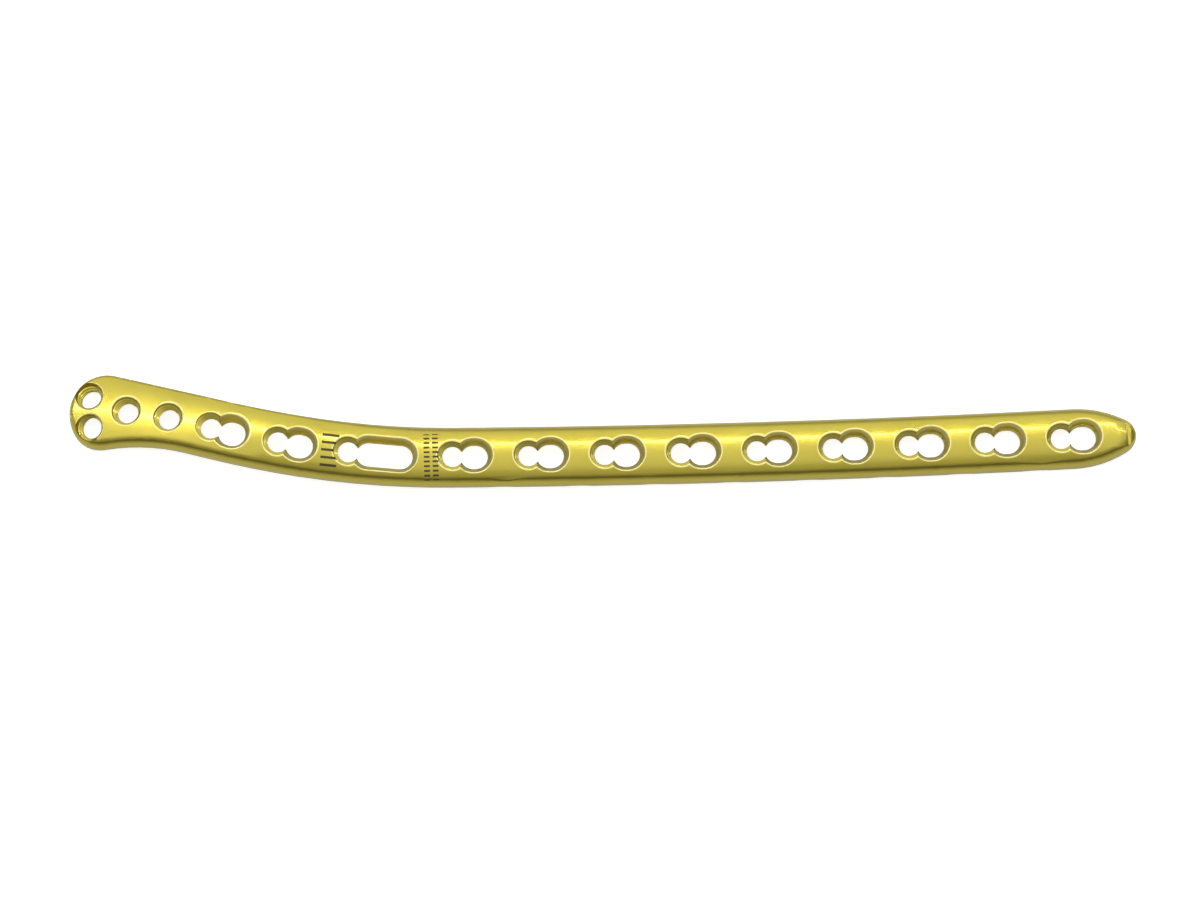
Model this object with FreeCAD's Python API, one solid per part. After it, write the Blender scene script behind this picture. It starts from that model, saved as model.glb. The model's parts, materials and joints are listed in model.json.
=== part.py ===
import FreeCAD, Part
import math
import os
from FreeCAD import Matrix, Placement, Vector

# Bone plate for the back of the lower upper-arm bone, machined from one titanium bar, in millimetres.
# The shaft runs along X with its bullet tip at +X, the head is at -X and +Z is the outer, convex side.
# Stations are measured along the centreline of the plan, from the neck where the straight head meets
# the bend: positive towards the tip, negative towards the head's end.

# Centreline in plan
SHAFT_HEADING = 0.42
SHAFT_BOW_RADIUS = 2774.0
BEND_RADIUS = 179.0
HEAD_HEADING = -14.5

# Centreline in elevation, where the head curves down towards the bone
DROOP_RADIUS = 190.0
DROOP_START = 16.0

# Cross-section of the shaft and of the head
SHAFT_WIDTH = 11.8
SHAFT_THICKNESS = 4.2
HEAD_THICKNESS = 3.4
SHAFT_CROWN_RADIUS = 16.0
HEAD_CROWN_RADIUS = 38.0
UNDERSIDE_HOLLOW = 0.35
SHAFT_SHOULDER = 2.4
HEAD_SHOULDER = 0.9
LOWER_EDGE_BREAK = 0.3
HEAD_BLEND_START = 16.0
HEAD_BLEND_END = -16.0
HEAD_TWIST = 3.5
HEAD_OFFSET = -1.8

# Outline of the head: the end's circle stands a little past the line of the straight inner edge, and
# two smaller corners take over from it at these turns from the head's axis
HEAD_END_RADIUS = 8.35
HEAD_END_BULGE = 0.8
HEAD_INNER_TURN = 24.0
HEAD_OUTER_TURN = 43.4
HEAD_OUTER_CORNER_RADIUS = 6.1
HEAD_FLARE_RADIUS = 41.4

# Outline and top of the bullet tip
TIP_SIDE_RADIUS = 21.0
TIP_NOSE_RADIUS = 3.45
TIP_RAMP_LENGTH = 7.2
TIP_THICKNESS = 2.9

# Threaded holes: a cone for the locking head, then a short plain throat
THREAD_MOUTH_RADIUS = 3.0
END_MOUTH_RADIUS = 2.85
THREAD_THROAT_RADIUS = 2.24
THREAD_HALF_ANGLE = 18.0

# Combination holes: the threaded circle on the head's side and a compression slot on the tip's side
COMBI_THREAD_AT = -2.3
SLOT_START = 1.7
SLOT_RUN = 0.55
LONG_SLOT_RUN = 6.35
SLOT_SEAT_RADIUS = 3.4
SLOT_SEAT_DEPTH = 0.4
SLOT_THROAT_RADIUS = 2.4

# Breaks of the rims on the outer face
RIM_BREAK = 0.28
END_RIM_BREAK = 0.18

# Chain of the holes from the neck to the tip, then from the neck to the head's end
NECK_HOLE = 1.4
NECK_TO_BEND_HOLE = 13.5
BEND_TO_LONG_HOLE = 14.0
LONG_TO_SHAFT_HOLE = 20.6
HOLE_PITCH = 15.0
SHAFT_HOLES = 9
LAST_HOLE_TO_TIP = 12.55
NECK_TO_SINGLE_HOLE = 10.8
SINGLE_HOLE_PITCH = 8.3
SINGLE_HOLES_ACROSS = (-0.15, -0.8)
SINGLE_HOLE_TO_END_CENTRE = 3.4

# The two end holes lie side by side round the centre of the end's circle
END_HOLE_WALL = 0.6
END_HOLE_LAND = 0.3
END_HOLES_TURN = 15.6
END_HOLE_LEAN = 4.0
END_HOLE_SPREAD = 5.0

# Shallow hollows across the underside, between the shaft holes
UNDERCUT_RADIUS = 8.0
UNDERCUT_DEPTH = 0.45

# How far the plate rolls over on its round head, until it balances between there and its tip
REST_ROLL = 6.1

# Sizes of the tools that cut the plate, all larger than it
SLAB_HALF_WIDTH = 9.0
SLAB_STEP = 8.0
SLAB_OVERHANG = 4.0
TOOL_HEIGHT = 30.0
CUT_ABOVE = 5.0
CUT_BELOW = 10.0
RIM_DEPTH = 1.5
RIM_POINTS = 6

# How closely its edges are followed, and in how many turns it is levelled, to lay it on a table
EDGE_POINTS = 12
SETTLE_TRIES = 4


def bend_length():
    return BEND_RADIUS * math.radians(SHAFT_HEADING - HEAD_HEADING)


def spine(station):
    """Plan point and heading of the centreline at a station."""
    heading = math.radians(HEAD_HEADING)
    point = Vector(math.cos(heading), math.sin(heading), 0) * min(station, 0.0)
    in_bend = min(max(station, 0.0), bend_length())
    on_shaft = max(station - bend_length(), 0.0)
    for run, radius in ((in_bend, BEND_RADIUS), (on_shaft, SHAFT_BOW_RADIUS)):
        after = heading + run / radius
        point += Vector(math.sin(after) - math.sin(heading), math.cos(heading) - math.cos(after), 0) * radius
        heading = after
    return point, heading


def shaft_holes():
    """Stations of the evenly pitched holes, from the bend to the tip."""
    first = NECK_HOLE + NECK_TO_BEND_HOLE + BEND_TO_LONG_HOLE + LONG_TO_SHAFT_HOLE
    return [first + i * HOLE_PITCH for i in range(SHAFT_HOLES)]


def tip_end():
    return shaft_holes()[-1] + LAST_HOLE_TO_TIP


def single_holes():
    """Along and across of the two single holes, in the head's own frame."""
    first = NECK_TO_SINGLE_HOLE - NECK_HOLE
    return [(first + i * SINGLE_HOLE_PITCH, across) for i, across in enumerate(SINGLE_HOLES_ACROSS)]


def end_centre():
    """Centre of the end's circle, in the head's own frame."""
    across = SHAFT_WIDTH / 2 + HEAD_END_BULGE - HEAD_END_RADIUS
    return single_holes()[-1][0] + SINGLE_HOLE_TO_END_CENTRE, across


def from_end_centre(distance, turn):
    """Point of the head's frame at a distance and a turn in degrees from the end's centre."""
    along, across = end_centre()
    angle = math.radians(turn)
    return along + distance * math.cos(angle), across + distance * math.sin(angle)


def end_holes():
    """The two end holes, a wall inside the end's circle and a land apart."""
    distance = HEAD_END_RADIUS - END_HOLE_WALL - END_MOUTH_RADIUS
    apart = END_MOUTH_RADIUS + END_RIM_BREAK + END_HOLE_LAND / 2
    spread = math.degrees(math.asin(apart / distance))
    return [from_end_centre(distance, side * spread - END_HOLES_TURN) for side in (1, -1)]


def blend(station, start, end):
    """Smooth step from 0 at one station to 1 at the other."""
    t = min(max((station - start) / (end - start), 0.0), 1.0)
    return t * t * (3 - 2 * t)


def head_offset(station):
    """How far the middle of the section lies beside the centreline."""
    return HEAD_OFFSET * blend(station, HEAD_BLEND_START, HEAD_BLEND_END)


def frame(station, across=0.0):
    """Placement on the underside: X along the plate, Y across it and Z out of its outer face."""
    point, heading = spine(station)
    slope = math.asin(max(DROOP_START - station, 0.0) / DROOP_RADIUS)
    drop = DROOP_RADIUS * (1 - math.cos(slope))
    twist = math.radians(HEAD_TWIST) * blend(station, HEAD_BLEND_START, HEAD_BLEND_END)
    along = Vector(math.cos(heading) * math.cos(slope), math.sin(heading) * math.cos(slope), math.sin(slope))
    level = Vector(-math.sin(heading), math.cos(heading), 0)
    up = along.cross(level)
    side = level * math.cos(twist) - up * math.sin(twist)
    out = along.cross(side)
    offset = head_offset(station)
    origin = point + level * offset + Vector(0, 0, -drop) + side * (across - offset)
    return Placement(Matrix(
        along.x, side.x, out.x, origin.x,
        along.y, side.y, out.y, origin.y,
        along.z, side.z, out.z, origin.z,
        0, 0, 0, 1))


def thickness(station):
    """Thickness on the centreline before the tip's ramp is cut: full on the shaft, less on the head."""
    in_head = blend(station, HEAD_BLEND_START, HEAD_BLEND_END)
    return SHAFT_THICKNESS + (HEAD_THICKNESS - SHAFT_THICKNESS) * in_head


def crown_radius(station):
    in_head = blend(station, HEAD_BLEND_START, HEAD_BLEND_END)
    return SHAFT_CROWN_RADIUS + (HEAD_CROWN_RADIUS - SHAFT_CROWN_RADIUS) * in_head


def spine_offset(station, across):
    """Plan point beside the centreline."""
    point, heading = spine(station)
    return point + Vector(-math.sin(heading), math.cos(heading), 0) * across


def head_point(along, across):
    """Plan point in the head's own frame, which starts where the bend ends."""
    start, heading = spine(0)
    outward = Vector(-math.cos(heading), -math.sin(heading), 0)
    north = Vector(-math.sin(heading), math.cos(heading), 0)
    return start + outward * along + north * across


def arc(start, middle, end):
    return Part.Arc(start, middle, end).toShape()


def line(start, end):
    return Part.LineSegment(start, end).toShape()


def arc_between(place, centre, radius, start, end):
    """Arc of less than half a turn about a centre, between the directions of two points."""
    first = math.atan2(start[1] - centre[1], start[0] - centre[0])
    last = math.atan2(end[1] - centre[1], end[0] - centre[0])
    turn = (last - first + math.pi) % (2 * math.pi) - math.pi
    points = []
    for share in (0, 0.5, 1):
        angle = first + turn * share
        points.append(place(centre[0] + radius * math.cos(angle), centre[1] + radius * math.sin(angle)))
    return arc(*points)


def away(origin, through, distance):
    """Point at a distance from an origin, on the ray through another point."""
    length = math.dist(origin, through)
    return tuple(o + (t - o) * distance / length for o, t in zip(origin, through))


def tip_start():
    """Station where the sides of the bullet tip begin."""
    half = SHAFT_WIDTH / 2
    nose = math.sqrt((TIP_SIDE_RADIUS - TIP_NOSE_RADIUS) ** 2 - (TIP_SIDE_RADIUS - half) ** 2)
    return tip_end() - nose - TIP_NOSE_RADIUS


def tip_edges():
    """Two side arcs and the nose, tangent to each other and to the shaft."""
    half = SHAFT_WIDTH / 2
    start = tip_start()
    nose = (tip_end() - start - TIP_NOSE_RADIUS, 0.0)
    point, heading = spine(start)
    along = Vector(math.cos(heading), math.sin(heading), 0)
    north = Vector(-math.sin(heading), math.cos(heading), 0)

    def place(x, y):
        return point + along * x + north * y

    edges = []
    touches = []
    for side in (1, -1):
        centre = (0.0, side * (half - TIP_SIDE_RADIUS))
        touch = away(centre, nose, TIP_SIDE_RADIUS)
        edges.append(arc_between(place, centre, TIP_SIDE_RADIUS, (0.0, side * half), touch))
        touches.append(place(*touch))
    end = place(nose[0] + TIP_NOSE_RADIUS, 0.0)
    edges.append(arc(touches[0], end, touches[1]))
    return edges


def head_edges():
    """Straight inner edge, three arcs round the end, and the outer edge's flare."""
    half = SHAFT_WIDTH / 2
    end = end_centre()
    inner_gap = HEAD_END_BULGE / (1 - math.sin(math.radians(HEAD_INNER_TURN)))
    inner = from_end_centre(inner_gap, HEAD_INNER_TURN)
    outer = from_end_centre(HEAD_END_RADIUS - HEAD_OUTER_CORNER_RADIUS, -HEAD_OUTER_TURN)
    flare_across = -half - HEAD_FLARE_RADIUS
    flare_gap = HEAD_FLARE_RADIUS + HEAD_OUTER_CORNER_RADIUS
    flare_run = math.sqrt(flare_gap ** 2 - (outer[1] - flare_across) ** 2)
    flare = (outer[0] - flare_run, flare_across)
    inner_start = (inner[0], half)
    inner_touch = away(end, inner, HEAD_END_RADIUS)
    outer_touch = away(end, outer, HEAD_END_RADIUS)
    flare_touch = away(flare, outer, HEAD_FLARE_RADIUS)
    flare_start = (flare[0], -half)
    return [
        line(head_point(0, half), head_point(*inner_start)),
        arc_between(head_point, inner, HEAD_END_RADIUS - inner_gap, inner_start, inner_touch),
        arc_between(head_point, end, HEAD_END_RADIUS, inner_touch, outer_touch),
        arc_between(head_point, outer, HEAD_OUTER_CORNER_RADIUS, outer_touch, flare_touch),
        arc_between(head_point, flare, HEAD_FLARE_RADIUS, flare_touch, flare_start),
        line(head_point(*flare_start), head_point(0, -half)),
    ]


def outline():
    """Closed plan outline of the plate."""
    edges = tip_edges() + head_edges()
    for side in (1, -1):
        half = side * SHAFT_WIDTH / 2
        for first, last in ((0.0, bend_length()), (bend_length(), tip_start())):
            points = [spine_offset(station, half) for station in (first, (first + last) / 2, last)]
            edges.append(arc(*points))
    return Part.Wire(Part.__sortEdges__(edges))


def section(station):
    """Closed section of the slab: crowned above, slightly hollow below, wider than the plate."""
    top = thickness(station)
    crown = crown_radius(station)
    half = SHAFT_WIDTH / 2
    hollow = (half ** 2 + UNDERSIDE_HOLLOW ** 2) / (2 * UNDERSIDE_HOLLOW)
    reach = SLAB_HALF_WIDTH
    top_side = top - crown + math.sqrt(crown ** 2 - reach ** 2)
    low_side = UNDERSIDE_HOLLOW - hollow + math.sqrt(hollow ** 2 - reach ** 2)
    wire = Part.Wire([
        arc(Vector(0, -reach, top_side), Vector(0, 0, top), Vector(0, reach, top_side)),
        line(Vector(0, reach, top_side), Vector(0, reach, low_side)),
        arc(Vector(0, reach, low_side), Vector(0, 0, UNDERSIDE_HOLLOW), Vector(0, -reach, low_side)),
        line(Vector(0, -reach, low_side), Vector(0, -reach, top_side)),
    ])
    wire.Placement = frame(station, head_offset(station))
    return wire


def slab():
    """Everything between the underside and the crown, before the outline is cut."""
    first = -end_centre()[0] - HEAD_END_RADIUS - SLAB_OVERHANG
    last = tip_end() + SLAB_OVERHANG
    steps = math.ceil((last - first) / SLAB_STEP)
    stations = [first + (last - first) * i / steps for i in range(steps + 1)]
    return Part.makeLoft([section(station) for station in stations], True, False)


def shoulder_radius(point):
    """Radius of the shoulder at a point of the outline: large on the shaft, small round the head."""
    neck, heading = spine(0)
    along = -(point.x - neck.x) * math.cos(heading) - (point.y - neck.y) * math.sin(heading)
    share = blend(along, 0.0, end_centre()[0])
    return SHAFT_SHOULDER + (HEAD_SHOULDER - SHAFT_SHOULDER) * share


def with_shoulders(blank):
    """Round the upper outline with a radius that shrinks towards the head's end."""
    document = FreeCAD.newDocument("shoulders")
    base = document.addObject("Part::Feature", "blank")
    base.Shape = blank
    outer = max(base.Shape.Faces, key=lambda face: face.Area)
    rounding = document.addObject("Part::Fillet", "rounding")
    rounding.Base = base
    radii = []
    for number, edge in enumerate(base.Shape.Edges, 1):
        if any(edge.isSame(upper) for upper in outer.OuterWire.Edges):
            ends = (edge.valueAt(edge.FirstParameter), edge.valueAt(edge.LastParameter))
            radii.append((number, shoulder_radius(ends[0]), shoulder_radius(ends[1])))
    rounding.Edges = radii
    document.recompute()
    rounded = rounding.Shape.Solids[0]
    FreeCAD.closeDocument(document.Name)
    return rounded


def ramp_cutter():
    """Everything above the tip's ramp, a round slope that leaves the crown without a step."""
    fall = SHAFT_THICKNESS - TIP_THICKNESS
    radius = (TIP_RAMP_LENGTH ** 2 + fall ** 2) / (2 * fall)
    centre = Vector(0, 0, SHAFT_THICKNESS - radius)
    steep = math.asin(min((TIP_RAMP_LENGTH + SLAB_OVERHANG) / radius, 1.0))

    def on_ramp(angle):
        return centre + Vector(radius * math.sin(angle), 0, radius * math.cos(angle))

    start = on_ramp(0)
    end = on_ramp(steep)
    above = Vector(end.x, 0, start.z + CUT_ABOVE)
    face = Part.Face(Part.Wire([
        arc(start, on_ramp(steep / 2), end),
        line(end, above),
        line(above, Vector(0, 0, above.z)),
        line(Vector(0, 0, above.z), start),
    ]))
    face.translate(Vector(0, -SHAFT_WIDTH, 0))
    cutter = face.extrude(Vector(0, 2 * SHAFT_WIDTH, 0))
    cutter.Placement = frame(tip_end() - TIP_RAMP_LENGTH).multiply(cutter.Placement)
    return cutter


def body():
    """Plate without holes: the slab inside the outline, with round shoulders and broken lower edges."""
    prism = Part.Face(outline()).extrude(Vector(0, 0, 2 * TOOL_HEIGHT))
    prism.translate(Vector(0, 0, -TOOL_HEIGHT))
    blank = with_shoulders(slab().common(prism).Solids[0])
    under = max(blank.Faces, key=lambda face: face.Area)
    blank = blank.makeChamfer(LOWER_EDGE_BREAK, under.OuterWire.Edges).Solids[0]
    return blank.cut(ramp_cutter()).Solids[0]


def turned(profile, swing=360.0):
    """Solid turned about Z from a closed profile of (radius, height) corners."""
    corners = [Vector(radius, 0, height) for radius, height in profile]
    face = Part.Face(Part.makePolygon(corners + corners[:1]))
    return face.revolve(Vector(0, 0, 0), Vector(0, 0, 1), swing)


def thread_cutter(mouth):
    """Cone for a threaded screw head, open above, and the plain throat below it."""
    fall = math.tan(math.radians(THREAD_HALF_ANGLE))
    depth = (mouth - THREAD_THROAT_RADIUS) / fall
    return turned([
        (0, CUT_ABOVE),
        (mouth + CUT_ABOVE * fall, CUT_ABOVE),
        (THREAD_THROAT_RADIUS, -depth),
        (THREAD_THROAT_RADIUS, -CUT_BELOW),
        (0, -CUT_BELOW),
    ])


def slot_cutter(run):
    """Compression slot: a ball seat that runs along the plate, over a narrower through slot."""
    seat = -SLOT_SEAT_DEPTH
    lip = seat - math.sqrt(SLOT_SEAT_RADIUS ** 2 - SLOT_THROAT_RADIUS ** 2)
    middle = math.atan2(lip - seat, SLOT_THROAT_RADIUS) / 2
    bowl = Vector(SLOT_SEAT_RADIUS * math.cos(middle), 0, seat + SLOT_SEAT_RADIUS * math.sin(middle))
    right = [
        line(Vector(0, 0, CUT_ABOVE), Vector(SLOT_SEAT_RADIUS, 0, CUT_ABOVE)),
        line(Vector(SLOT_SEAT_RADIUS, 0, CUT_ABOVE), Vector(SLOT_SEAT_RADIUS, 0, seat)),
        arc(Vector(SLOT_SEAT_RADIUS, 0, seat), bowl, Vector(SLOT_THROAT_RADIUS, 0, lip)),
        line(Vector(SLOT_THROAT_RADIUS, 0, lip), Vector(SLOT_THROAT_RADIUS, 0, -CUT_BELOW)),
        line(Vector(SLOT_THROAT_RADIUS, 0, -CUT_BELOW), Vector(0, 0, -CUT_BELOW)),
        line(Vector(0, 0, -CUT_BELOW), Vector(0, 0, CUT_ABOVE)),
    ]
    half = Part.Face(Part.Wire(right))
    turn_axis = Vector(0, 0, 1)
    half.rotate(Vector(0, 0, 0), turn_axis, -90)
    far_end = half.revolve(Vector(0, 0, 0), turn_axis, 180)
    far_end.translate(Vector(run, 0, 0))
    near_end = half.revolve(Vector(0, 0, 0), turn_axis, -180)
    middle_part = half.extrude(Vector(run, 0, 0))
    other_half = middle_part.mirror(Vector(0, 0, 0), Vector(0, 1, 0))
    slot = far_end.multiFuse([near_end, middle_part, other_half]).removeSplitter()
    slot.translate(Vector(SLOT_START, 0, 0))
    return slot


def combination_cutter(run):
    """Threaded circle and compression slot that run into each other."""
    thread = thread_cutter(THREAD_MOUTH_RADIUS)
    thread.translate(Vector(COMBI_THREAD_AT, 0, 0))
    return thread.fuse(slot_cutter(run))


def outer_face(station, across=0.0):
    """Placement on the outer face, square to it."""
    radius = crown_radius(station)
    lean = math.asin((across - head_offset(station)) / radius)
    level = FreeCAD.Rotation()
    to_axis = Placement(Vector(0, 0, thickness(station) - radius), level)
    swing = Placement(Vector(0, 0, 0), FreeCAD.Rotation(Vector(1, 0, 0), -math.degrees(lean)))
    rise = Placement(Vector(0, 0, radius), level)
    return frame(station, head_offset(station)).multiply(to_axis).multiply(swing).multiply(rise)


def on_crown(station, x, y, height, flat):
    """Point at a height over the outer face near a hole, or over its level plane if flat."""
    crown = crown_radius(station)
    droop = DROOP_RADIUS if station < DROOP_START else math.inf
    fall = crown - math.sqrt(crown ** 2 - y ** 2) + x ** 2 / (2 * droop)
    return Vector(x, y, height if flat else height - fall)


def rim_arc(station, centre, radius, height, flat, start, end):
    """Arc of a rim in plan, lifted on to the crown."""
    points = []
    for i in range(RIM_POINTS + 1):
        angle = start + (end - start) * i / RIM_POINTS
        x = centre + radius * math.cos(angle)
        points.append(on_crown(station, x, radius * math.sin(angle), height, flat))
    curve = Part.BSplineCurve()
    curve.interpolate(points)
    return curve.toShape()


def combination_rim(station, run, thread_radius, slot_radius, height, flat):
    """Closed outline of a combination hole: the circle, then the slot from its lower cusp round."""
    gap = SLOT_START - COMBI_THREAD_AT
    reach = (thread_radius ** 2 - slot_radius ** 2 + gap ** 2) / (2 * gap)
    cusp = math.acos(reach / thread_radius)
    near = math.acos((reach - gap) / slot_radius)
    quarter = math.pi / 2
    circle = rim_arc(station, COMBI_THREAD_AT, thread_radius, height, flat, cusp, 2 * math.pi - cusp)
    lower = rim_arc(station, SLOT_START, slot_radius, height, flat, -near, -quarter)
    end = rim_arc(station, SLOT_START + run, slot_radius, height, flat, -quarter, quarter)
    upper = rim_arc(station, SLOT_START, slot_radius, height, flat, quarter, near)
    sides = [line(a.Vertexes[-1].Point, b.Vertexes[0].Point) for a, b in ((lower, end), (end, upper))]
    return Part.Wire([circle, lower, sides[0], end, sides[1], upper])


def round_rim(station, radius, height, flat):
    """Closed outline of a round hole."""
    halves = [rim_arc(station, 0, radius, height, flat, turn, turn + math.pi) for turn in (0, math.pi)]
    return Part.Wire(halves)


def rim_cutter(outline_at, size):
    """Tool that breaks a rim at an even slant and follows the crown all round it.

    outline_at gives the closed outline at a distance outside the hole and a height over the crown."""
    wires = [
        outline_at(-2 * size, -RIM_DEPTH, True),
        outline_at(-size, -2 * size, False),
        outline_at(2 * size, size, False),
        outline_at(3 * size, CUT_ABOVE, True),
    ]
    return Part.makeLoft(wires, True, True)


def combination_rim_cutter(station, run):
    fall = math.tan(math.radians(THREAD_HALF_ANGLE))

    def outline_at(outside, height, flat):
        thread = THREAD_MOUTH_RADIUS + min(height, 0.0) * fall + outside
        return combination_rim(station, run, thread, SLOT_SEAT_RADIUS + outside, height, flat)

    return rim_cutter(outline_at, RIM_BREAK)


def round_rim_cutter(station, mouth, size):
    fall = math.tan(math.radians(THREAD_HALF_ANGLE))

    def outline_at(outside, height, flat):
        return round_rim(station, mouth + min(height, 0.0) * fall + outside, height, flat)

    return rim_cutter(outline_at, size)


def placed(cutter, place):
    copy = cutter.copy()
    copy.Placement = place.multiply(copy.Placement)
    return copy


def combination_holes():
    """Station and slot run of each combination hole, from the tip to the neck."""
    bend_hole = NECK_HOLE + NECK_TO_BEND_HOLE
    holes = [(station, SLOT_RUN) for station in reversed(shaft_holes())]
    holes.append((bend_hole + BEND_TO_LONG_HOLE, LONG_SLOT_RUN))
    return holes + [(bend_hole, SLOT_RUN), (NECK_HOLE, SLOT_RUN)]


def round_holes():
    """Station, place across, mouth, rim, lean and spread of each round hole, from the neck to the end."""
    holes = []
    for along, across in single_holes():
        holes.append((-along, across, THREAD_MOUTH_RADIUS, RIM_BREAK, 0.0, 0.0))
    for side, (along, across) in zip((1, -1), end_holes()):
        spread = side * END_HOLE_SPREAD
        holes.append((-along, across, END_MOUTH_RADIUS, END_RIM_BREAK, END_HOLE_LEAN, spread))
    return holes


def hole_axis(station, across, lean, spread):
    """Placement of a round hole: square to the outer face, then leaned to the shaft and sideways."""
    turn = FreeCAD.Rotation(Vector(0, 1, 0), -lean).multiply(FreeCAD.Rotation(Vector(1, 0, 0), -spread))
    return outer_face(station, across).multiply(Placement(Vector(0, 0, 0), turn))


def hole_cutters():
    """Every hole and the break of its rim."""
    cutters = []
    for station, run in combination_holes():
        place = outer_face(station)
        cutters.append(placed(combination_cutter(run), place))
        cutters.append(placed(combination_rim_cutter(station, run), place))
    for station, across, mouth, rim, lean, spread in round_holes():
        cutters.append(placed(thread_cutter(mouth), hole_axis(station, across, lean, spread)))
        cutters.append(placed(round_rim_cutter(station, mouth, rim), outer_face(station, across)))
    return cutters


def undercuts():
    """Round hollows across the underside, half way between the shaft holes."""
    cutters = []
    for station in shaft_holes()[:-1]:
        place = frame(station + HOLE_PITCH / 2)
        centre = Vector(0, -SHAFT_WIDTH, UNDERSIDE_HOLLOW + UNDERCUT_DEPTH - UNDERCUT_RADIUS)
        bar = Part.makeCylinder(UNDERCUT_RADIUS, 2 * SHAFT_WIDTH, centre, Vector(0, 1, 0))
        cutters.append(placed(bar, place))
    return cutters


def at_rest(plate):
    """The plate as it lies on a table: rolled over on its head, level from there to its tip.

    The origin comes under the middle of its box."""
    plate.rotate(Vector(0, 0, 0), Vector(1, 0, 0), REST_ROLL)
    for _ in range(SETTLE_TRIES):
        points = [point for edge in plate.Edges for point in edge.discretize(EDGE_POINTS)]
        points.sort(key=lambda point: point.z)
        head = next(point for point in points if point.x < 0)
        tip = next(point for point in points if point.x > 0)
        slope = math.atan2(tip.z - head.z, tip.x - head.x)
        plate.rotate(Vector(0, 0, 0), Vector(0, 1, 0), math.degrees(slope))
    box = plate.optimalBoundingBox(False)
    plate.translate(Vector(-box.Center.x, -box.Center.y, -box.ZMin))
    return plate


def bone_plate():
    return at_rest(body().cut(undercuts() + hole_cutters()).Solids[0])


os.makedirs("parts", exist_ok=True)
bone_plate().exportStep("parts/bone_plate.step")
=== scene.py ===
# %% [markdown]
# A long bone plate, milled from one titanium bar, blasted satin and anodised gold. The frame brings
# the plate itself, lying on its underside. What is left for this lesson is the look of it: smooth
# shading for the machined faces, the locking threads in the holes, the satin gold finish, a few
# laser marks, and a plain studio that shows a long curved metal thing well.

# %% Load the plate
import json
import math

import bmesh
import bpy
import numpy as np
from mathutils import Matrix, Vector
from mathutils.kdtree import KDTree


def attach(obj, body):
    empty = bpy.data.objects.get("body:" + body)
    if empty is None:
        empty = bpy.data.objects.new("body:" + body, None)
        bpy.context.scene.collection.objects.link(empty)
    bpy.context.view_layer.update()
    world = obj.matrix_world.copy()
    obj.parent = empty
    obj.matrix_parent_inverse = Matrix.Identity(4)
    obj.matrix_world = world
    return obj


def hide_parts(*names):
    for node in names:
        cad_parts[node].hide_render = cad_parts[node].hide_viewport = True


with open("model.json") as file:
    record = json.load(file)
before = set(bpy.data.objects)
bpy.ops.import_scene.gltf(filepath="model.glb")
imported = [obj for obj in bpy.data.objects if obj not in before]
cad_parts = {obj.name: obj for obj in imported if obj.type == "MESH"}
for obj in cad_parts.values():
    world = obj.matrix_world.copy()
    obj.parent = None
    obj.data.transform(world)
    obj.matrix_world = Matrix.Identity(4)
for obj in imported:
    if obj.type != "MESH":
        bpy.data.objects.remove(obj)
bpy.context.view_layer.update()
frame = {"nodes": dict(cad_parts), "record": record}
mounts = {mount["name"]: mount for mount in frame["record"]["mounts"]}

# %% [markdown]
# Everything else is placed by the plate's own holes. The row of evenly pitched holes gives the
# direction of the shaft, and their common axis is the way the shaft's outer face looks. A plate
# that lies on its curved head is rolled by a few degrees, so these axes aren't the world's.

# %% Axes of the shaft
MM = 0.001


def place_of(name):
    return Vector(mounts[name]["pos_m"])


def axis_of(name):
    return Vector(mounts[name]["axis"]).normalized()


SHAFT_HOLES = sorted(name for name in mounts if name.startswith("shaft_combi"))
first_hole = place_of(SHAFT_HOLES[0])
last_hole = place_of(SHAFT_HOLES[-1])
outward = axis_of(SHAFT_HOLES[0])
along = (last_hole - first_hole).normalized()
along = (along - outward * along.dot(outward)).normalized()
across = outward.cross(along)
shaft_middle = (first_hole + last_hole) / 2
print("outward:", [round(v, 4) for v in outward], "along:", [round(v, 4) for v in along])

# %% [markdown]
# The camera looks down on the outer face from the side of the outer edge, ten degrees off square,
# through a long lens. Its sideways axis is turned a little from the row of holes, because the shaft
# lies slightly askew in the picture.

# %% Camera
CAMERA_ELEVATION = math.radians(80.0)
CAMERA_TURN = math.radians(-1.72)
CAMERA_DISTANCE = 1.44
PICTURE_WIDTH = 236.6 * MM
SENSOR_WIDTH = 36.0
TARGET_ALONG = -30.9 * MM
TARGET_ACROSS = -0.3 * MM


def turned(vector, axis, angle):
    return Matrix.Rotation(angle, 3, axis) @ vector


right = turned(along, outward, CAMERA_TURN)
north = outward.cross(right)
back = outward * math.sin(CAMERA_ELEVATION) - north * math.cos(CAMERA_ELEVATION)
target = shaft_middle + right * TARGET_ALONG + north * TARGET_ACROSS

camera = bpy.data.objects.new("camera", bpy.data.cameras.new("camera"))
bpy.context.scene.collection.objects.link(camera)
camera.matrix_world = Matrix.Translation(target + back * CAMERA_DISTANCE) @ Matrix(
    (right, back.cross(right), back)).transposed().to_4x4()
camera.data.sensor_width = SENSOR_WIDTH
camera.data.lens = SENSOR_WIDTH * CAMERA_DISTANCE / PICTURE_WIDTH
camera.data.clip_end = 10.0
bpy.context.scene.camera = camera
print("lens:", round(camera.data.lens, 1), "mm")

# %% [markdown]
# The plate arrives as loose flat triangles, which would show every facet in a polished metal. A
# merged copy of it is shaded smooth instead. Blender's own smooth normals are good enough for the
# walls and the round shoulders, whose triangles are small and even.

# %% Merged copy
MERGE_DISTANCE = 0.002 * MM
SHARP_ANGLE = math.radians(40)


def link(obj):
    bpy.context.scene.collection.objects.link(obj)
    return obj


def finish(obj):
    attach(obj, "root")
    return obj


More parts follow.
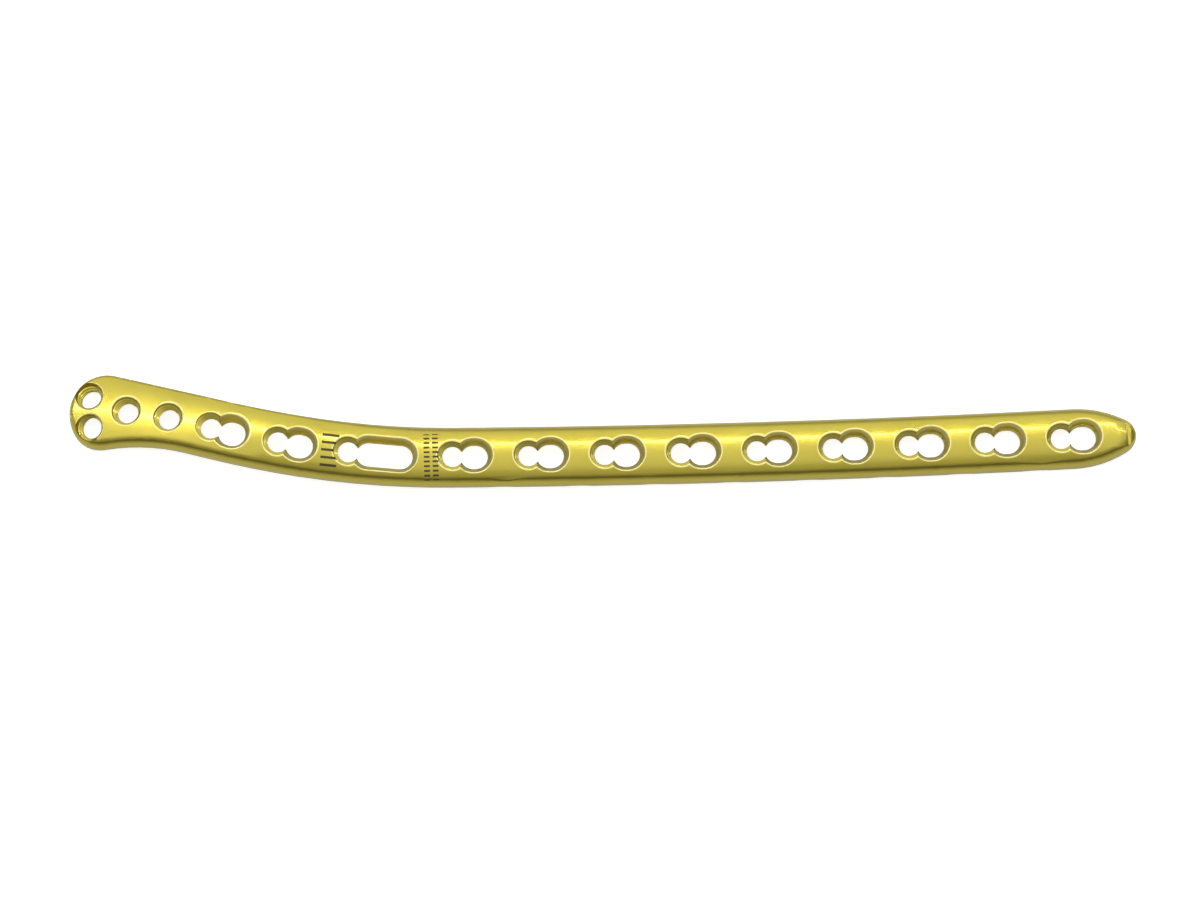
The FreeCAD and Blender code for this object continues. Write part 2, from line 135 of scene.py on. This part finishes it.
bm = bmesh.new()
bm.from_mesh(frame["nodes"]["bone_plate"].data)
bmesh.ops.remove_doubles(bm, verts=bm.verts, dist=MERGE_DISTANCE)
bm.normal_update()
for face in bm.faces:
    face.smooth = True
for edge in bm.edges:
    edge.smooth = len(edge.link_faces) == 2 and edge.calc_face_angle(math.pi) < SHARP_ANGLE
print("plate corners:", len(bm.verts), "triangles:", len(bm.faces))

# %% [markdown]
# The wide outer face needs more care: its triangles are long and uneven, so averaged normals make
# the highlight wobble round the holes. But their corners lie exactly on the true surface, so the
# normal at a corner is the slope of a patch fitted through the corners around it. The patch starts
# as the crown of the plate, whose radius across it is known, and may only bend a little from that.
# Corners of a shoulder or a rim lie below the patch, and are dropped as it rises to the outer face.

# %% True normals of the outer face
FACES_UP = math.cos(math.radians(19.5))
SHAFT_CROWN_RADIUS = 16.0
HEAD_CROWN_RADIUS = 38.0
NECK_BLEND = 32.0
NECK_MIDDLE = -1.4
PATCH_REACH = 9.0 * MM
PATCH_FOCUS = 3.2
PATCH_STIFFNESS = (0.3, 0.3, 100.0)
PATCH_DROPS = (0.1, 0.05, 0.025, 0.012, 0.006, 0.006)
PATCH_MISS = 0.006
PATCH_PASSES = 2


def crown_radius(point):
    """Radius across the outer face in mm, which grows from the shaft to the head."""
    from_neck = (point - place_of("neck_combi_hole")).dot(along) / MM - NECK_MIDDLE
    share = min(max(0.5 - from_neck / NECK_BLEND, 0.0), 1.0)
    share = share * share * (3 - 2 * share)
    return SHAFT_CROWN_RADIUS + (HEAD_CROWN_RADIUS - SHAFT_CROWN_RADIUS) * share


def way_up(point):
    """Axis of the nearest hole that is square to the outer face."""
    square_holes = [name for name in mounts if not name.startswith("head_end")]
    return axis_of(min(square_holes, key=lambda name: (place_of(name) - point).length))


def rough_normal(vertex):
    """Area-weighted normal of a corner's faces that look up, or a null vector if it has none."""
    up = way_up(vertex.co)
    upper = [face for face in vertex.link_faces if face.normal.dot(up) > FACES_UP]
    return sum((face.normal * face.calc_area() for face in upper), Vector()).normalized()


def patch_normal(offsets, radius, up):
    """Normal at the origin of a patch through the highest of some points around it, or None."""
    side = up.cross(along).normalized()
    ahead = side.cross(up)
    s, t, height = (offsets @ np.array(axis) / MM for axis in (ahead, side, up))
    height = height + radius - np.sqrt(radius ** 2 - t ** 2)
    terms = np.stack((np.ones_like(s), s, t, s * s, s * t, t * t), axis=1)
    stiff = np.diag((0.0, 0.0, 0.0) + PATCH_STIFFNESS)
    weights = np.exp(-(s * s + t * t) / PATCH_FOCUS ** 2 / 2)
    keep = np.full(len(s), True)
    for drop in PATCH_DROPS:
        factor = (weights * keep)[:, None]
        rows = np.vstack((terms * factor, stiff))
        patch = np.linalg.lstsq(rows, np.append(height * factor[:, 0], np.zeros(6)), rcond=None)[0]
        keep = height - terms @ patch > -drop
    if abs(patch[0]) > PATCH_MISS:
        return None
    return (up - ahead * patch[1] - side * patch[2]).normalized()


def outer_normals(bm):
    """Fitted normals of the outer face by corner number, and the rough ones."""
    bm.verts.ensure_lookup_table()
    rough = [rough_normal(vertex) for vertex in bm.verts]
    upper = [i for i, normal in enumerate(rough) if normal.length > 0]
    tree = KDTree(len(upper))
    for i in upper:
        tree.insert(bm.verts[i].co, i)
    tree.balance()
    points = np.array([vertex.co for vertex in bm.verts])
    radius = np.array([crown_radius(vertex.co) for vertex in bm.verts])
    fitted = {}
    for i in upper:
        near = [j for _, j, _ in tree.find_range(bm.verts[i].co, PATCH_REACH)]
        offsets = points[near] - points[i]
        normal = rough[i]
        for _ in range(PATCH_PASSES):
            normal = normal and patch_normal(offsets, radius[near], normal)
        if normal is not None:
            fitted[i] = normal
    return fitted, {i: rough[i] for i in upper}


fitted, rough = outer_normals(bm)
print("corners on the outer face:", len(fitted))

# %% [markdown]
# Each rim of the real plate is rounded by the brush that took the burr off, and a round edge gathers
# light from all round into a thin pale line. Here a rim is a narrow slanted break, which has too few
# normals for that. So its normals only turn a little from the outer face's towards the wall, and a
# face attribute lets the shader paint the pale line on: a painted highlight, a paler colour with a
# rougher finish, which stands in for the round edge. A rim is told from the rest by its slant
# against the outer face, steeper than a shoulder's.

# %% Round rims
RIM_LEAST = math.cos(math.radians(86))
RIM_MOST = math.cos(math.radians(28))
RIM_TURN = 0.5
LAST_RIM = 9.0 * MM

crown_normals = {**rough, **fitted}


def is_rim(face):
    """Whether a face is a rim's: it slants from the outer face, and isn't on the tip's shoulder."""
    if (face.verts[0].co - last_hole).dot(along) > LAST_RIM:
        return False
    crown = [crown_normals[vertex.index] for vertex in face.verts if vertex.index in crown_normals]
    return bool(crown) and RIM_LEAST < face.normal.dot(crown[0]) < RIM_MOST


rims = {face.index for face in bm.faces if is_rim(face)}
for edge in bm.edges:
    sides = [face.index in rims for face in edge.link_faces]
    if any(sides) and not all(sides):
        edge.smooth = False

plate_mesh = bpy.data.meshes.new("plate")
bm.to_mesh(plate_mesh)
bm.free()
corners = [corner.vector.copy() for corner in plate_mesh.corner_normals]
walls = {}
for face in plate_mesh.polygons:
    if face.index not in rims:
        for number in face.loop_indices:
            vertex = plate_mesh.loops[number].vertex_index
            if vertex not in fitted:
                walls[vertex] = walls.get(vertex, Vector()) + corners[number]
            elif face.normal.dot(fitted[vertex]) > RIM_MOST:
                corners[number] = fitted[vertex]
for index in rims:
    face = plate_mesh.polygons[index]
    crown = next(crown_normals[vertex] for vertex in face.vertices if vertex in crown_normals)
    for number in face.loop_indices:
        vertex = plate_mesh.loops[number].vertex_index
        wall = walls.get(vertex, Vector()).normalized()
        corners[number] = crown_normals.get(vertex) or (crown + wall * RIM_TURN).normalized()
plate_mesh.normals_split_custom_set(corners)
rim_mask = plate_mesh.attributes.new("rim", "FLOAT", "FACE")
rim_mask.data.foreach_set("value", [float(face.index in rims) for face in plate_mesh.polygons])
plate = link(bpy.data.objects.new("plate", plate_mesh))
print("rim triangles:", len(rims))

# %% [markdown]
# Every hole starts with a cone for the locking head of a screw and ends in a plain throat. The
# thread is a small ridge wound down that wall. Bmesh's spin winds it on a cylinder, with a step
# down at each part of a turn, and then every corner moves out to where the wall is at its depth.
# In a combination hole the slot cuts the thread open, so each turn is an arc from cusp to cusp.

# %% Locking threads
THREAD_PITCH = 0.62 * MM
THREAD_STEPS = 44
CREST_HEIGHT = 0.27 * MM
CREST_HALF = 0.07 * MM
ROOT_HALF = 0.23 * MM
ROOT_SUNK = 0.05 * MM
THROAT_CREST = 0.6
FIRST_CREST = 0.62 * MM
LAST_CREST = 0.3 * MM
CONE_FALL = math.tan(math.radians(18))
MOUTH_RADIUS = 3.0 * MM
END_MOUTH_RADIUS = 2.85 * MM
SLOT_GAP = 4.0 * MM
SEAT_RADIUS = 3.4 * MM
SEAT_DEPTH = 0.4 * MM
SLOT_RADIUS = 2.4 * MM
COMBI_HOLES = ["neck_combi_hole", "bend_combi_hole", "long_combi_hole"] + SHAFT_HOLES
throat_radius = mounts[SHAFT_HOLES[0]]["dims"]["r_mm"] * MM


def wall_radius(mouth, depth):
    return max(throat_radius, mouth - depth * CONE_FALL)


def cusp_angle(depth):
    """Half the gap that the slot leaves in the threaded circle of a combination hole."""
    wall = wall_radius(MOUTH_RADIUS, depth)
    bowl = min(max(depth - SEAT_DEPTH, 0.0), SEAT_RADIUS)
    slot = max(math.sqrt(SEAT_RADIUS ** 2 - bowl ** 2), SLOT_RADIUS)
    return math.acos((wall ** 2 - slot ** 2 + SLOT_GAP ** 2) / (2 * SLOT_GAP * wall))


def wind(bm, start, sweep, depth):
    """Spin one ridge clockwise and down, on the throat's radius, from an angle and a depth."""
    profile = [(-ROOT_SUNK, ROOT_HALF), (CREST_HEIGHT, CREST_HALF), (CREST_HEIGHT, -CREST_HALF),
               (-ROOT_SUNK, -ROOT_HALF)]
    turn = Matrix.Rotation(-start, 3, "Z")
    places = [Vector((throat_radius - inward, 0, rise - depth)) for inward, rise in profile]
    verts = [bm.verts.new(turn @ place) for place in places]
    face = bm.faces.new(verts)
    steps = math.ceil(THREAD_STEPS * sweep / (2 * math.pi))
    drop = Vector((0, 0, -THREAD_PITCH * sweep / (2 * math.pi) / steps))
    bmesh.ops.spin(bm, geom=[face], cent=(0, 0, 0), axis=(0, 0, -1), dvec=drop, angle=sweep, steps=steps)


def seat_on_wall(bm, mouth, bottom):
    """Move the wound corners out to the wall, with a lower crest in the throat and faded ends."""
    for vertex in bm.verts:
        depth = -vertex.co.z
        wall = wall_radius(mouth, depth)
        radius = vertex.co.xy.length
        inward = throat_radius - radius
        if inward > 0:
            share = 1.0 if wall > throat_radius else THROAT_CREST
            run_in = (depth - FIRST_CREST + THREAD_PITCH) / THREAD_PITCH
            run_out = (bottom - depth) / LAST_CREST + 0.5
            inward *= share * max(min(1.0, run_in, run_out), 0.0)
        vertex.co.xy *= (wall - inward) / radius


def thread(name, ahead):
    """The ridge of one hole, placed by its mount: Z out of the plate, X ahead along it."""
    combi = name in COMBI_HOLES
    mouth = END_MOUTH_RADIUS if name.startswith("head_end") else MOUTH_RADIUS
    length = mounts[name]["dims"]["length_mm"] * MM
    cone = (mouth - throat_radius) / CONE_FALL
    bottom = cone + length - LAST_CREST
    turns = (bottom - FIRST_CREST) / THREAD_PITCH
    bm = bmesh.new()
    if combi:
        for number in range(int(turns)):
            depth = FIRST_CREST + number * THREAD_PITCH
            gap = cusp_angle(depth + THREAD_PITCH / 2)
            wind(bm, gap, 2 * math.pi - 2 * gap, depth + THREAD_PITCH * gap / (2 * math.pi))
    else:
        wind(bm, 0.0, 2 * math.pi * turns, FIRST_CREST)
    seat_on_wall(bm, mouth, bottom)
    up = axis_of(name)
    side = up.cross(ahead).normalized()
    place = place_of(name) + up * (length / 2 + cone)
    bm.transform(Matrix.Translation(place) @ Matrix((side.cross(up), side, up)).transposed().to_4x4())
    bmesh.ops.recalc_face_normals(bm, faces=bm.faces)
    for face in bm.faces:
        face.smooth = True
    for edge in bm.edges:
        edge.smooth = edge.calc_face_angle(math.pi) < SHARP_ANGLE
    mesh = bpy.data.meshes.new("thread_" + name)
    bm.to_mesh(mesh)
    bm.free()
    return finish(link(bpy.data.objects.new("thread_" + name, mesh)))


combi_places = np.array([place_of(name) for name in COMBI_HOLES])
stations = np.append(0.0, np.cumsum(np.linalg.norm(np.diff(combi_places, axis=0), axis=1)))
headings = np.gradient(combi_places, stations, axis=0, edge_order=2)
ahead_of = {name: Vector(heading) for name, heading in zip(COMBI_HOLES, headings)}
threads = [thread(name, ahead_of.get(name, along)) for name in sorted(mounts)]
print("threads:", len(threads), "with", sum(len(obj.data.polygons) for obj in threads), "faces")

# %% [markdown]
# Shader maths is easier to read as expressions, so a small class wraps a socket and turns the
# operators that are used into Math nodes.

# %% Shader helper
class Value:
    def __init__(self, tree, socket):
        self.tree = tree
        self.socket = socket

    def math(self, operation, other=0.0):
        node = self.tree.nodes.new("ShaderNodeMath")
        node.operation = operation
        for slot, value in zip(node.inputs, (self, other)):
            if isinstance(value, Value):
                self.tree.links.new(value.socket, slot)
            else:
                slot.default_value = value
        return Value(self.tree, node.outputs[0])

    def __add__(self, other):
        return self.math("ADD", other)

    def __rsub__(self, other):
        return (self * -1.0) + other

    def __mul__(self, other):
        return self.math("MULTIPLY", other)

    def __lt__(self, other):
        return self.math("LESS_THAN", other)

    def __gt__(self, other):
        return self.math("GREATER_THAN", other)

    __radd__ = __add__
    __rmul__ = __mul__


class Finish:
    """A material and its one Principled shader."""

    def __init__(self, name):
        self.material = bpy.data.materials.new(name)
        self.material.use_nodes = True
        self.tree = self.material.node_tree
        self.shader = self.tree.nodes["Principled BSDF"]

    def node(self, kind, settings=None, **sockets):
        """Add a node, set its settings, then fill its sockets with values or links."""
        node = self.tree.nodes.new("ShaderNode" + kind)
        for name, value in (settings or {}).items():
            setattr(node, name, value)
        self.fill(node, sockets)
        return node

    def fill(self, node, sockets):
        for name, value in sockets.items():
            slot = node.inputs[int(name[1:])] if name[0] == "_" else node.inputs[name.replace("_", " ")]
            if isinstance(value, Value):
                self.tree.links.new(value.socket, slot)
            elif isinstance(value, bpy.types.NodeSocket):
                self.tree.links.new(value, slot)
            else:
                slot.default_value = value

    def shade(self, **sockets):
        self.fill(self.shader, sockets)

    def value(self, socket):
        return Value(self.tree, socket)


# %% [markdown]
# A laser leaves dull brown marks between the holes of the neck: here a row of plain bars and two
# rows of plain ticks. They are a mask in the metal's own shader, because a laser only burns the
# colour and removes nothing. A Mapping node of the Texture type turns the plate's coordinates into
# a small frame on the outer face, ahead along the plate and across it, and a ping-pong of the way
# across repeats one bar into a row. A row's place is given from the third hole of the neck, and its
# size is the length of a bar, the span of the row, the pitch of the bars and their width.

# %% Laser marks
MARK_FLOOR = 0.6 * MM
BARS_PLACE = (-3.6 * MM, 0.15 * MM)
BARS_AHEAD = ahead_of["long_combi_hole"]
BARS_SIZE = (3.3 * MM, 6.5 * MM, 1.5 * MM, 0.5 * MM)
TICKS_PLACES = ((15.5 * MM, -1.8 * MM), (17.2 * MM, -1.8 * MM))
TICKS_SIZE = (1.15 * MM, 9.2 * MM, 0.92 * MM, 0.4 * MM)


def mark_row(metal, place, offset, ahead, size):
    """Mask of a row of bars across the plate, at an offset from the third hole of the neck."""
    length, span, pitch, width = size
    up = axis_of("long_combi_hole")
    side = up.cross(ahead).normalized()
    ahead = side.cross(up)
    centre = place_of("long_combi_hole") + along * offset[0] + across * offset[1]
    turn = Matrix((ahead, side, up)).transposed().to_euler()
    local = metal.node("Mapping", {"vector_type": "TEXTURE"}, Vector=place, Location=centre, Rotation=turn)
    parts = metal.node("SeparateXYZ", Vector=local.outputs["Vector"])
    u, v, w = (metal.value(parts.outputs[axis]) for axis in "XYZ")
    row = (u.math("ABSOLUTE") < length / 2) * (v.math("ABSOLUTE") < span / 2)
    bars = v.math("PINGPONG", pitch / 2) < width / 2
    return row * bars * (w > MARK_FLOOR)


def laser_marks(metal, place):
    marks = mark_row(metal, place, BARS_PLACE, BARS_AHEAD, BARS_SIZE)
    for offset in TICKS_PLACES:
        marks = marks + mark_row(metal, place, offset, along, TICKS_SIZE)
    return marks


# %% [markdown]
# Anodised titanium gets its gold from a thin clear oxide: the metal under it tints what it
# reflects, and the oxide itself adds a little untinted shine, so bright lights look almost white
# in it. Blasting leaves a fine grain. The metal is a satin gold base, the oxide a smoother coat,
# and the grain is a very fine bump with a faint cloudiness of colour and roughness. The rims get a
# painted highlight, a paler colour, with a rougher finish, and where the laser went, the metal is
# dark and dull with little of the coat left.

# %% Satin gold
GOLD_LIGHT = (0.62, 0.52, 0.052, 1.0)
GOLD_DARK = (0.54, 0.44, 0.040, 1.0)
# Paler colour of the rim faces: a painted highlight for the light a round edge would gather.
RIM_PAINTED_HIGHLIGHT = (0.88, 0.80, 0.26, 1.0)
BURNT = (0.085, 0.060, 0.022, 1.0)
SATIN = 0.24
RIM_ROUGH = 0.42
BURNT_ROUGH = 0.45
BURNT_METAL_LOSS = 0.5
CLOUD_SCALE = 120.0
CLOUD_ROUGH = 0.05
GRAIN_SCALE = 9000.0
GRAIN_ROUGH = 0.04
GRAIN_HEIGHT = 0.04 * MM
COAT = 0.7
COAT_BURNT_OFF = 0.55


def gold_finish(name, marked):
    gold = Finish(name)
    place = gold.node("TexCoord").outputs["Object"]
    cloud = gold.node("TexNoise", Vector=place, Scale=CLOUD_SCALE, Detail=3.0, Roughness=0.6).outputs["Fac"]
    grain = gold.node("TexNoise", Vector=place, Scale=GRAIN_SCALE, Detail=2.0, Roughness=0.6).outputs["Fac"]
    colour = gold.node("Mix", {"data_type": "RGBA"}, _0=cloud, _6=GOLD_DARK, _7=GOLD_LIGHT).outputs[2]
    bump = gold.node("Bump", Height=grain, Strength=0.10, Distance=GRAIN_HEIGHT)
    rough = SATIN + gold.value(cloud) * CLOUD_ROUGH + gold.value(grain) * GRAIN_ROUGH
    gold.shade(Base_Color=colour, Metallic=1.0, Roughness=rough, Normal=bump.outputs["Normal"],
               Coat_Weight=COAT, Coat_Roughness=0.12, Coat_IOR=1.6)
    if marked:
        marks = laser_marks(gold, place)
        rim = gold.value(gold.node("Attribute", {"attribute_name": "rim"}).outputs["Fac"])
        # The rim faces get the paler colour, which is a painted highlight.
        pale = gold.node("Mix", {"data_type": "RGBA"}, _0=rim, _6=colour, _7=RIM_PAINTED_HIGHLIGHT).outputs[2]
        burnt = gold.node("Mix", {"data_type": "RGBA"}, _0=marks, _6=pale, _7=BURNT).outputs[2]
        gold.shade(Base_Color=burnt, Metallic=1.0 - marks * BURNT_METAL_LOSS,
                   Coat_Weight=COAT - marks * COAT_BURNT_OFF,
                   Roughness=rough + marks * (BURNT_ROUGH - SATIN) + rim * (RIM_ROUGH - SATIN))
    return gold.material


marked_gold = gold_finish("marked_gold", marked=True)
gold = gold_finish("gold_titanium", marked=False)
plate.data.materials.append(marked_gold)
for obj in threads:
    obj.data.materials.append(gold)
finish(plate)
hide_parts("bone_plate")
print("materials:", [m.name for m in bpy.data.materials])

# %% [markdown]
# The studio: a long strip lamp on the far side gives the white line along the crown. A wide soft
# box overhead and a card beyond the strip light the broad faces, and a softer one sees to the near
# shoulder, which falls dark before a low card on the near side draws a thin bright edge. The head
# bends away from the rest, so it has a soft box and an end card of its own. Each lamp is given by
# its angle and distance, its length and width, and its radiance, where 1 looks white.

# %% Lamps
def lamp(name, angle, distance, length, width, radiance, lean=0.0):
    """Area lamp at an angle from the outward axis, away from the camera, leaning to the head's end."""
    data = bpy.data.lights.new(name, "AREA")
    data.shape = "RECTANGLE"
    data.size = length
    data.size_y = width
    data.energy = radiance * math.pi * length * width
    toward = turned(outward, right, -math.radians(angle))
    hinge = toward.cross(right)
    toward, lengthwise = (turned(axis, hinge, -math.radians(lean)) for axis in (toward, right))
    obj = link(bpy.data.objects.new(name, data))
    obj.matrix_world = Matrix.Translation(shaft_middle + toward * distance) @ Matrix(
        (lengthwise, toward.cross(lengthwise), toward)).transposed().to_4x4()
    return obj


WORLD_LIGHT = 0.12

lamp("strip", 25.2, 1.2, 2.4, 0.035, 17.0)
lamp("overhead", 4.0, 1.3, 2.6, 0.84, 0.88)
lamp("far_card", 51.5, 1.5, 2.6, 1.0, 0.84)
lamp("far_low", 80.0, 1.5, 2.6, 0.5, 0.5)
lamp("near_fill", -27.0, 1.4, 2.6, 0.62, 0.30)
lamp("near_card", -78.0, 1.5, 2.6, 0.62, 0.35)
lamp("head_box", 27.0, 1.2, 0.25, 0.2, 2.0, lean=21.0)
lamp("end_card", 0.0, 1.4, 1.0, 1.6, 0.5, lean=72.0)

world = bpy.data.worlds.new("studio")
world.use_nodes = True
world.node_tree.nodes["Background"].inputs["Color"].default_value = (1.0, 1.0, 1.0, 1.0)
world.node_tree.nodes["Background"].inputs["Strength"].default_value = WORLD_LIGHT
bpy.context.scene.world = world
bpy.context.scene.view_settings.view_transform = "Standard"
print("lamps:", [light.name for light in bpy.data.lights])

# %% [markdown]
# The floor is plain white paper. Part of its brightness is its own, for the camera and, less, for
# reflections, so that it stays white in the picture and pale in the metal but still shows a soft
# shadow.

# %% Floor
FLOOR_SIZE = 6.0
FLOOR_GLOW = 0.8
MIRRORED_GLOW = 0.2
FLOOR_COLOUR = (0.6, 0.6, 0.6, 1.0)

bm = bmesh.new()
bmesh.ops.create_grid(bm, x_segments=1, y_segments=1, size=FLOOR_SIZE / 2)
floor_mesh = bpy.data.meshes.new("floor")
bm.to_mesh(floor_mesh)
bm.free()
floor = link(bpy.data.objects.new("floor", floor_mesh))
paper = Finish("paper")
path = paper.node("LightPath")
mirrored = paper.value(path.outputs["Is Glossy Ray"]) + paper.value(path.outputs["Is Transmission Ray"])
glow = paper.value(path.outputs["Is Camera Ray"]) * FLOOR_GLOW + mirrored * MIRRORED_GLOW
paper.shade(Base_Color=FLOOR_COLOUR, Roughness=0.9, Specular_IOR_Level=0.0,
            Emission_Color=(1.0, 1.0, 1.0, 1.0), Emission_Strength=glow)
floor.data.materials.append(paper.material)
print("floor:", FLOOR_SIZE, "m, own glow:", FLOOR_GLOW)
